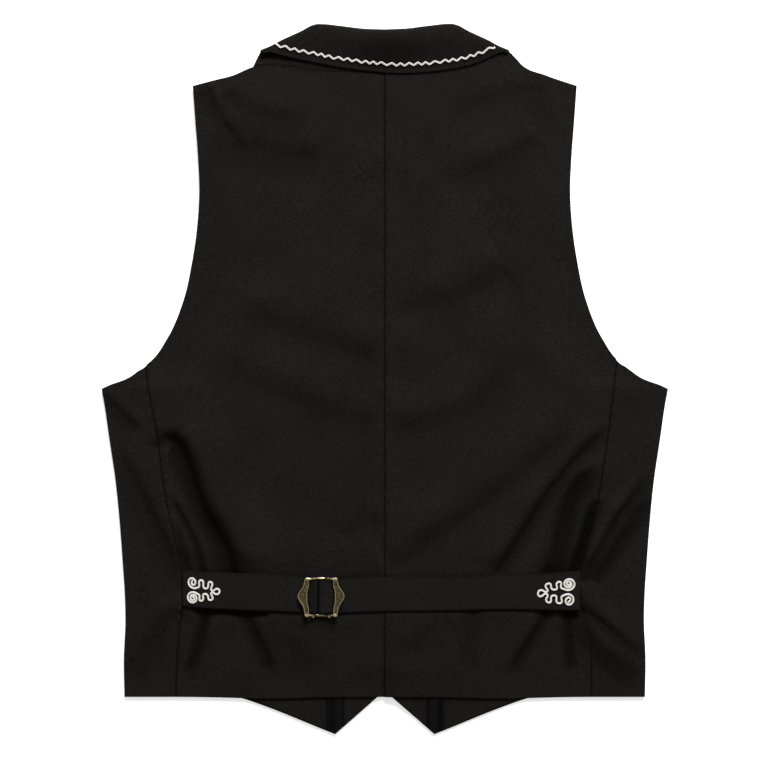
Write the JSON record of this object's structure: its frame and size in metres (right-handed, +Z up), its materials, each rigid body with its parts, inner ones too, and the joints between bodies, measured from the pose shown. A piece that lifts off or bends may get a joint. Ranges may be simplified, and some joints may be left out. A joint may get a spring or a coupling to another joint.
{
  "type": "suit vest laid flat",
  "caption": "Dark tailored suit vest laid flat on its front, with a turned-down collar edged in wavy braid, shaped back seams, a buckled back belt and pointed fronts.",
  "frame": {"origin": "centre of the vest's outline, on the surface that it lies on", "axes": "+Z up out of the vest's back, +Y towards the collar, +X towards the wearer's right side"},
  "size_m": [0.5196, 0.6508, 0.0144],
  "materials": {
    "cloth": "matte wool twill",
    "lining": "smooth lining",
    "braid": "white soutache braid",
    "brass": "antique",
    "button": "satin"
  },
  "bodies": {
    "root": {"back_left": "cloth", "back_right": "cloth", "side_left": "cloth", "side_right": "cloth", "front_left": "cloth", "front_right": "cloth", "facing_left": "cloth", "facing_right": "cloth", "collar": "cloth", "lapel_left": "cloth", "lapel_right": "cloth", "belt_left": "cloth", "belt_right": "cloth", "lining_left": "lining", "lining_right": "lining", "collar_braid": "braid", "motif_left": "braid", "motif_right": "braid", "buckle": "brass", "button_1": "button", "button_2": "button", "button_3": "button", "button_4": "button", "button_5": "button"}
  },
  "joints": []
}
